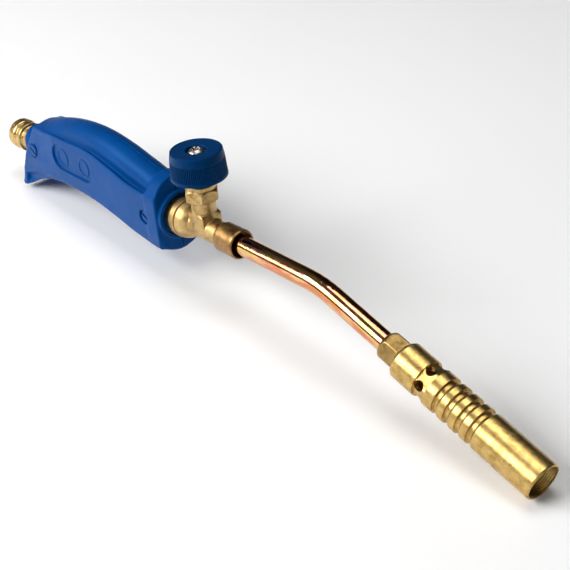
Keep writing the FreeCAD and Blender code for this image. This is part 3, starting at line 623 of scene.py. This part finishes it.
def make_inlet(finishes):
    """Turned inlet: rounded collar, groove, second collar, hub, rib and tail."""
    outside = 8.75
    corners = [
        (0, INLET_BORE, 0.3), (0, outside - 1.2, 0), (0.1, outside - 1.1, 0.9),
        (1.9, outside, 1.2), (6.7, outside, 0.8), (7.7, outside - 1.3, 0.3),
        (8.8, outside - 1.3, 0.3), (9.3, outside - 0.2, 0.4), (12.6, outside - 0.2, 0.6),
        (13.2, 7, 0.3), (21, 7, 0.1), (21, 9, 0.3), (24, 9, 0.3), (24, 6.5, 0.1), (44, 6.5, 0.3),
        (44, 5.05, 0.1), (38, 5.05, 0.1), (38, 2.5, 0.1), (INLET_DEPTH + 1.4, 2.5, 0.1),
        (INLET_DEPTH + 1.4, 5, 0.1), (INLET_DEPTH, 5, 0.1), (INLET_DEPTH, INLET_BORE, 0.2),
    ]
    pitch, depth = 1.337, 0.35

    def threaded(along, radius, angle):
        on_bore = (np.abs(radius - INLET_BORE) < 0.01) & (along > 0.6) & (along < INLET_DEPTH - 0.4)
        phase = (along / pitch - angle / TURN) % 1
        return radius + np.where(on_bore, depth * (1 - np.abs(2 * phase - 1)), 0)

    verts, faces = turned_mesh(corners, 120, threaded, 0.3)
    item = outward(mesh_object("inlet_fitting", verts, faces))
    finished(item, "root", finishes["turned_brass"], "turned_brass", "hose_inlet")


def valve_field(x, y, z):
    """Forged cross about the spindle axis: tail, rim, dome, barrel, block and neck."""
    line = np.sqrt(y * y + z * z)
    stem = np.sqrt(x * x + y * y)
    tail = np.maximum(line - 6.5, np.maximum(-50 - x, x + 17))
    hub = np.maximum(line - 9, np.maximum(-24 - x, x + 17))
    rim = blend_max(line - 10.4, np.maximum(-19.2 - x, x + 14.9), 0.7)
    run = np.clip((x + 14.9) / 7.3, 0, 1)
    dome_radius = 6.4 + 3.75 * np.sqrt(np.maximum(1 - run ** 1.8, 0.0))
    dome = blend_max((line - dome_radius) * 0.8, np.maximum(-16 - x, x + 7.2), 0.5)
    groove = np.maximum(np.abs(x + 14.75) - 0.36, 9.2 - line)
    barrel = blend_max(line - 6.22, np.maximum(-16 - x, x - 19), 0.4)
    block = box_field(x, y, z, (-6.05, -6.05, 0), (6.05, 6.05, 9), 0.9)
    neck = blend_max(stem - 6.3 - 0.02 * np.maximum(12 - z, 0), np.maximum(-z, z - 15.9), 0.5)
    front = blend_max(blend_min(rim, dome, 0.4), -groove, 0.3)
    body = blend_min(blend_min(tail, hub, 0.2), front, 0.3)
    cross = blend_min(blend_min(barrel, block, 0.7), neck, 1.5)
    body = blend_min(body, cross, 1.0)
    bore = np.maximum(stem - 4.9, 11 - z)
    chamber = np.maximum(stem - 4, 2 - z)
    gas_in = np.maximum(line - 2.5, x + 5)
    socket = np.maximum(line - 5.05, x + 40)
    outlet = np.maximum(np.sqrt(y * y + (z - 4) ** 2) - 1.6, -x)
    hollow = np.minimum(np.minimum(bore, chamber), np.minimum(np.minimum(gas_in, socket), outlet))
    return blend_max(body, -hollow, 0.25)


def make_valve(finishes):
    verts, faces = surface_net(valve_field, (-50, -10.5, -10.5), (19, 10.5, 16), 0.32)
    item = mesh_object("valve_forging", verts, faces, AT_VALVE, 55)
    finished(item, "root", finishes["forged_brass"], "forged_brass", "valve_body")


def gland_nut_field(x, y, z):
    """Hexagonal nut with chamfered ends, round collar and shank."""
    stem = np.sqrt(x * x + y * y)
    flats = hexagon_field(x, y, 16, math.radians(-37), 0.25)
    top = (stem - 7.75 + (z - 22.9) * 0.85) * 0.75
    foot = (stem - 7.3 - (z - 15.9) * 1.7) * 0.5
    hexed = blend_max(blend_max(flats, top, 0.3), foot, 0.3)
    hexed = blend_max(hexed, np.maximum(15.95 - z, z - 22.9), 0.3)
    collar = blend_max(stem - 7.75, np.maximum(22 - z, z - 25.15), 0.6)
    shank = np.maximum(stem - 4.85, np.maximum(14 - z, z - 17))
    body = blend_min(blend_min(hexed, collar, 0.2), shank, 0.1)
    bore = np.minimum(stem - 2.55, np.maximum(stem - 3.35, 17.4 - z))
    return blend_max(body, -bore, 0.3)


def make_gland_nut(finishes):
    verts, faces = surface_net(gland_nut_field, (-9.3, -9.3, 14), (9.3, 9.3, 25.2), 0.2)
    item = mesh_object("gland_nut_piece", verts, faces, AT_VALVE, 50)
    finished(item, "root", finishes["forged_brass"], "forged_brass", "gland_nut")


# ---------------------------------------------------------------- knob

KNOB_RIBS = 92


def make_knob(finishes):
    """Knob: bevelled top with a screw well, ribbed skirt and an inner hub."""
    foot, top = span("knob", 2)
    belt, skirt = 39.86, 14.5
    corners = [
        (foot, 12.5, 0.2), (foot, skirt, 0.45), (foot + 1.1, skirt - 0.1, 0.2),
        (belt - 0.5, 13.72, 0.3), (belt, 13.63, 0.3), (top, 13.1, 0.7), (top, 12.5, 0.08),
        (top - 0.2, 12.4, 0.05), (top - 0.2, 12.15, 0.05), (top, 12.05, 0.08), (top, 5.55, 0.35),
        (top - 0.35, 5.25, 0.2), (40.3, 5.25, 0.2), (40.3, 1.4, 0.1), (38.5, 1.4, 0.1),
        (38.5, 4, 0.1), (29.6, 4, 0.2), (29.6, 6, 0.3), (38.5, 6, 0.8), (38.5, 11.6, 0.8),
    ]
    start, end, depth = foot + 1.5, belt - 0.7, 0.42

    def ribbed(along, radius, angle):
        on_skirt = radius > 13.3
        fade = np.clip((along - start) / 0.5, 0, 1) * np.clip((end - along) / 0.6, 0, 1)
        wave = 0.5 - 0.5 * np.cos(angle * KNOB_RIBS)
        return radius - np.where(on_skirt, depth * fade * wave ** 1.3, 0)

    verts, faces = turned_mesh(corners, KNOB_RIBS * 8, ribbed, 0.7)
    item = outward(mesh_object("knob_cap", verts, faces, ON_SPINDLE))
    finished(item, "knob", finishes["knob_plastic"], "knob_plastic", "knob")


def screw_field(x, y, z):
    """Pan-head screw with a cross recess, on the knob."""
    stem = np.sqrt(x * x + y * y)
    low, high = 41.4, 43.85
    dome = np.sqrt(stem ** 2 + (z - high + 5.6) ** 2) - 5.6
    head = blend_max(blend_max(stem - 4.05, dome, 0.5), low - z, 0.2)
    slope = (z - high + 1.9) * 0.22
    arm_x = np.maximum(np.abs(y) - 0.42 - slope, np.abs(x) - 1.7 - slope)
    arm_y = np.maximum(np.abs(x) - 0.42 - slope, np.abs(y) - 1.7 - slope)
    cross = np.maximum(np.minimum(arm_x, arm_y), high - 1.6 - z)
    shank = np.maximum(stem - 1.2, np.maximum(30.6 - z, z - low - 0.3))
    return blend_min(blend_max(head, -cross, 0.2), shank, 0.1)


def make_knob_screw(finishes):
    verts, faces = surface_net(screw_field, (-4.1, -4.1, 30.5), (4.1, 4.1, 44), 0.14)
    turn = Matrix.Rotation(math.radians(18), 4, "Z")
    item = mesh_object("knob_screw_piece", verts, faces, AT_VALVE @ turn, 45)
    finished(item, "knob", finishes["nickel_steel"], "nickel_steel", "knob_screw")


# ---------------------------------------------------------------- sleeve and tube

def make_sleeve(finishes):
    """Sleeve over the valve outlet with chamfered ends and a deep mouth."""
    corners = [
        (14, 6.27, 0.1), (14, 6.75, 0.3), (15.5, 7.67, 0.5), (28.3, 7.67, 0.3), (29, 7.15, 0.25),
        (29, 6.68, 0.2), (22.5, 6.68, 0.1), (22.5, 5.05, 0.1), (19, 5.05, 0.1), (19, 6.27, 0.1),
    ]
    verts, faces = turned_mesh(corners, 128, None, 0.8)
    item = outward(mesh_object("outlet_sleeve", verts, faces, AT_VALVE))
    finished(item, "root", finishes["tinted_bronze"], "tinted_bronze", "tube_sleeve")


def tube_path(bend_radius=60.0, back=19.5, front=53.0, arc_steps=48):
    """Centre points of the neck: straight, bend, straight."""
    tangent = bend_radius * math.tan(TILT / 2)
    start = Vector((VALVE_X + back, 0, 0))
    bend_start = Vector((BEND_X - tangent, 0, 0))
    points = [start.lerp(bend_start, n / 40) for n in range(40)]
    centre = bend_start - Vector((0, 0, bend_radius))
    for n in range(arc_steps + 1):
        angle = TILT * n / arc_steps
        points.append(centre + bend_radius * Vector((math.sin(angle), 0, math.cos(angle))))
    ahead = Vector((math.cos(TILT), 0, -math.sin(TILT)))
    bend_end = points[-1]
    points += [bend_end + ahead * (front - tangent) * n / 30 for n in range(1, 31)]
    return points


def make_tube(finishes):
    """Neck tube: polished wall with faint flattening and wrinkles inside the bend."""
    points = tube_path()
    count, segments, wall = len(points), 96, 1.0
    distance = [0.0]
    for a, b in zip(points, points[1:]):
        distance.append(distance[-1] + (b - a).length)
    middle = distance[40 + 24]
    verts, around = [], []
    for inner in (False, True):
        for n, point in enumerate(points):
            ahead = (points[min(n + 1, count - 1)] - points[max(n - 1, 0)]).normalized()
            side = Vector((0, 1, 0))
            up = ahead.cross(side) * -1
            near = math.exp(-((distance[n] - middle) / 10) ** 2)
            for s in range(segments):
                angle = TURN * s / segments
                radius = TUBE_RADIUS - (wall if inner else 0)
                if not inner:
                    under = max(0.0, -math.sin(angle)) ** 2
                    radius -= near * (0.1 * abs(math.sin(angle)) - 0.03)
                    radius -= near * under * 0.04 * (1 - math.cos(distance[n] * TURN / 4.6))
                out = side * math.cos(angle) * radius
                verts.append(point + out + up * math.sin(angle) * radius)
                around.append((distance[n], math.cos(angle), math.sin(angle)))
    faces = []
    offset = count * segments
    for n in range(count - 1):
        for s in range(segments):
            a, b = n * segments + s, n * segments + (s + 1) % segments
            faces.append((a, b, b + segments, a + segments))
            faces.append((offset + a, offset + a + segments, offset + b + segments, offset + b))
    for n in (0, count - 1):
        for s in range(segments):
            a, b = n * segments + s, n * segments + (s + 1) % segments
            quad = (a, offset + a, offset + b, b)
            faces.append(quad if n == 0 else quad[::-1])
    item = mesh_object("neck_tube_piece", [tuple(v) for v in verts], faces)
    layer = item.data.attributes.new("along_tube", "FLOAT_VECTOR", "POINT")
    layer.data.foreach_set("vector", np.array(around, np.float32).ravel())
    finished(item, "root", finishes["chromated_steel"], "chromated_steel", "neck_tube")


# ---------------------------------------------------------------- holder and burner

def holder_field(x, y, z):
    """Hexagonal holder with a rounded rear, a thread in front and its bore."""
    line = np.sqrt(y * y + z * z)
    corner = math.radians(-90 + 36.3)
    flats = hexagon_field(y, z, 13.7, corner, 0.5)
    nose = np.clip((49.5 - x) / 5, 0, 1)
    round_back = line - 8.15 + 2.5 * nose ** 2.2
    body = blend_max(blend_max(flats, round_back, 0.5), np.maximum(44.5 - x, x - 55.5), 0.5)
    thread = np.maximum(line - 6.3, np.maximum(50 - x, x - 63))
    body = blend_min(body, thread, 0.1)
    bore = np.minimum(np.maximum(line - 5.05, x - 53), np.maximum(line - 2.5, x - 58))
    bore = np.minimum(bore, np.maximum(line - 3, 57 - x))
    return blend_max(body, -bore, 0.25)


def make_holder(finishes):
    verts, faces = surface_net(holder_field, (44.5, -8.2, -8.2), (63, 8.2, 8.2), 0.24)
    item = mesh_object("nozzle_holder_piece", verts, faces, ON_BURNER, 50)
    finished(item, "root", finishes["holder_brass"], "holder_brass", "nozzle_holder")


# Radii of the burner, then places along its line, measured from the bend
BURNER_RADIUS, GROOVE_RADIUS, BARREL_BORE, MIXER_RADIUS = 9.36, 7.9, 7.8, 5.5
RECESS_BACK, RECESS_FRONT = 70.4, 77.4
RING_COUNT, RING_PITCH, RING_FRONT, GROOVE_FRONT, RING_CREST = 4, 6.95, 82.6, 84.75, 85.95
MIXER_FRONT, HOLE_PLACE = 107.5, 73.1
MOUTH_DEPTH, HOLE_COUNT = 15, 6
FIRST_HOLE = math.radians(-90 + 10.5)


def burner_corners():
    """Closed outline of the burner: collar, recess, four rings, barrel, mouth and bores."""
    r = BURNER_RADIUS
    corners = [(55.6, 6.35, 0.1), (55.6, r - 1.1, 0.3), (57, r, 0.5),
               (RECESS_BACK - 0.1, r, 0.25), (RECESS_BACK, r - 0.02, 0),
               (RECESS_FRONT, r - 0.02, 0), (RECESS_FRONT + 0.1, r, 0.2)]
    for ring in range(RING_COUNT):
        step = RING_PITCH * ring
        corners += [(RING_FRONT + step, r, 0.35), (RING_FRONT + 0.06 + step, GROOVE_RADIUS, 0.3),
                    (GROOVE_FRONT + step, GROOVE_RADIUS, 0.3), (RING_CREST + step, r, 0.5)]
    front = BURNER_FRONT
    corners += [(front - 0.5, r, 0.3), (front, r - 0.5, 0.2), (front, BORE_RADIUS + 0.2, 0.2),
                (front - MOUTH_DEPTH, BORE_RADIUS, 0.2), (front - MOUTH_DEPTH, BARREL_BORE, 0.2),
                (MIXER_FRONT, BARREL_BORE, 0.2), (MIXER_FRONT, MIXER_RADIUS, 0.3),
                (64, MIXER_RADIUS, 0.3), (64, 6.35, 0.1)]
    return corners


def make_burner(finishes):
    """Turned burner: flats milled in the recess, an air hole at each corner, threaded mouth."""
    half_flats, pitch, depth = 8.15, 1.0, 0.32

    def milled(along, radius, angle):
        nearest = (angle - FIRST_HOLE) % (TURN / 6) - TURN / 12
        flat = half_flats / np.cos(nearest)
        in_recess = (along > RECESS_BACK - 0.05) & (along < RECESS_FRONT + 0.05) & (radius > 7)
        radius = np.where(in_recess, np.minimum(radius, flat), radius)
        in_mouth = (np.abs(radius - BORE_RADIUS) < 0.25) & (along > BURNER_FRONT - 14.5)
        in_mouth &= along < BURNER_FRONT - 0.25
        phase = (along / pitch - angle / TURN) % 1
        return radius + np.where(in_mouth, depth * (1 - np.abs(2 * phase - 1)), 0)

    verts, faces = turned_mesh(burner_corners(), 180, milled, 0.25)
    item = outward(mesh_object("burner_piece", verts, faces, ON_BURNER, 30))
    cutters = []
    for number in range(HOLE_COUNT):
        angle = FIRST_HOLE + TURN * number / HOLE_COUNT
        hole = [(4.6, 0.001, 0), (4.6, 2.6, 0), (8.6, 2.6, 0), (9.5, 3.1, 0), (12, 3.1, 0),
                (12, 0.001, 0)]
        hole_verts, hole_faces = turned_mesh(hole, 40)
        aim = Vector((0, math.cos(angle), math.sin(angle))).to_track_quat("X", "Z")
        place = ON_BURNER @ Matrix.Translation((HOLE_PLACE, 0, 0)) @ aim.to_matrix().to_4x4()
        cutters.append(outward(mesh_object(f"air_hole_{number}", hole_verts, hole_faces, place)))
    for cutter in cutters:
        drill = item.modifiers.new("drill", "BOOLEAN")
        drill.operation = "DIFFERENCE"
        drill.solver = "EXACT"
        drill.object = cutter
    graph = bpy.context.evaluated_depsgraph_get()
    drilled = bpy.data.meshes.new_from_object(item.evaluated_get(graph), depsgraph=graph)
    item.modifiers.clear()
    item.data = drilled
    item.data.shade_smooth()
    item.data.set_sharp_from_angle(angle=math.radians(30))
    for cutter in cutters:
        bpy.data.objects.remove(cutter)
    finished(item, "root", finishes["bright_brass"], "bright_brass", "burner_body")


# ---------------------------------------------------------------- carried-over pieces

def finish_cad_nodes(finishes):
    """Give every CAD node the finish of its slot in the record."""
    for entry in frame["record"]["subparts"]:
        item = frame["nodes"][entry["node"]]
        item.data.materials.clear()
        item.data.materials.append(finishes[entry["material_slot"]])


# ---------------------------------------------------------------- studio

def make_floor():
    """Pale floor under the grip's heel and the burner's lip, faintly glowing far away."""
    heel = Vector((14, 0, -25.4))
    lip = MOUTH_POINT + Vector((-math.sin(TILT), 0, -math.cos(TILT))) * BURNER_RADIUS
    slope = math.atan2(heel.z - lip.z, lip.x - heel.x)
    size = 6
    data = bpy.data.meshes.new("floor")
    data.from_pydata([(-size, -size, 0), (size, -size, 0), (size, size, 0), (-size, size, 0)], [],
                     [(0, 1, 2, 3)])
    floor = bpy.data.objects.new("floor", data)
    bpy.context.scene.collection.objects.link(floor)
    floor.matrix_world = (Matrix.Translation(heel * MM - Vector((0, 0, 0.0004)))
                          @ Matrix.Rotation(slope, 4, "Y"))
    item, tree, shader = new_material("floor_paint", Roughness=0.7, Specular_IOR_Level=0.2)
    paint = ramp(tree, noise(tree, 3, 2), [(0.3, 0.93), (0.7, 0.95)])
    link(tree, paint, shader.inputs["Base Color"])
    place = add(tree, "TexCoord")
    away = add(tree, "VectorMath", operation="LENGTH")
    link(tree, place.outputs["Object"], away.inputs[0])
    share = add(tree, "Math", operation="DIVIDE")
    link(tree, away.outputs["Value"], share.inputs[0])
    share.inputs[1].default_value = size
    link(tree, ramp(tree, share.outputs["Value"], [(0.16, 0.0), (0.4, 0.75)]),
         shader.inputs["Emission Color"])
    shader.inputs["Emission Strength"].default_value = 1.0
    data.materials.append(item)


def make_light(name, place, size, power, colour=(1, 1, 1)):
    """A square soft box aimed at the middle of the torch."""
    lamp = bpy.data.lights.new(name, "AREA")
    lamp.shape = "RECTANGLE"
    lamp.size, lamp.size_y = size
    lamp.energy = power
    lamp.color = colour
    item = bpy.data.objects.new(name, lamp)
    item.location = place
    target = Vector((0.22, 0, 0))
    item.rotation_mode = "QUATERNION"
    item.rotation_quaternion = (target - Vector(place)).to_track_quat("-Z", "Y")
    bpy.context.scene.collection.objects.link(item)


def make_world():
    """Studio surround: grey light, dark above the far side, and a pale backdrop."""
    world = bpy.data.worlds.new("studio")
    bpy.context.scene.world = world
    world.use_nodes = True
    tree = world.node_tree
    background = tree.nodes["Background"]
    place = add(tree, "TexCoord")
    split = add(tree, "SeparateXYZ")
    link(tree, place.outputs["Generated"], split.inputs["Vector"])
    height = ramp(tree, split.outputs["Z"], [(0.0, 0.3), (0.15, 0.2), (0.5, 0.08), (1.0, 0.12)])
    away = add(tree, "VectorMath", operation="DOT_PRODUCT")
    link(tree, place.outputs["Generated"], away.inputs[0])
    away.inputs[1].default_value = (0.3, 0.9, 0.3)
    far = ramp(tree, away.outputs["Value"], [(0.0, 1.0), (0.45, 0.12), (0.85, 0.08)])
    surround = mixed(tree, 1.0, height, far, "MULTIPLY")
    seen = add(tree, "LightPath")
    backdrop = mixed(tree, seen.outputs["Is Camera Ray"], surround, (0.88, 0.88, 0.88))
    link(tree, backdrop, background.inputs["Color"])
    background.inputs["Strength"].default_value = 1.0


def make_camera():
    """Long lens from ahead of the burner on the right side, a little above."""
    lens_data = bpy.data.cameras.new("camera")
    lens_data.sensor_width = 36
    lens_data.lens = 91.74
    lens_data.clip_start = 0.01
    camera = bpy.data.objects.new("camera", lens_data)
    azimuth, elevation, roll = (math.radians(a) for a in (53.40, 30.16, -6.36))
    place = Vector((0.72405, -0.35716, 0.33756))
    camera.matrix_world = (Matrix.Translation(place) @ Matrix.Rotation(azimuth, 4, "Z")
                           @ Matrix.Rotation(math.pi / 2 - elevation, 4, "X")
                           @ Matrix.Rotation(roll, 4, "Z"))
    bpy.context.scene.collection.objects.link(camera)
    bpy.context.scene.camera = camera


def make_studio():
    make_floor()
    make_world()
    make_light("key", (-0.3, -1.08, 0.85), (1.3, 0.75), 27)
    make_light("top", (0.3, 0.2, 1.5), (0.9, 0.9), 10)
    make_light("front_fill", (1.08, -0.8, 0.975), (0.3, 0.3), 2)
    bpy.context.scene.view_settings.view_transform = "Standard"
    make_camera()


# ---------------------------------------------------------------- the whole torch

finishes = all_materials()
finish_cad_nodes(finishes)
make_grip(finishes)
make_grip_screws(finishes)
make_inlet(finishes)
make_valve(finishes)
make_gland_nut(finishes)
make_knob(finishes)
make_knob_screw(finishes)
make_sleeve(finishes)
make_tube(finishes)
make_holder(finishes)
make_burner(finishes)
make_studio()
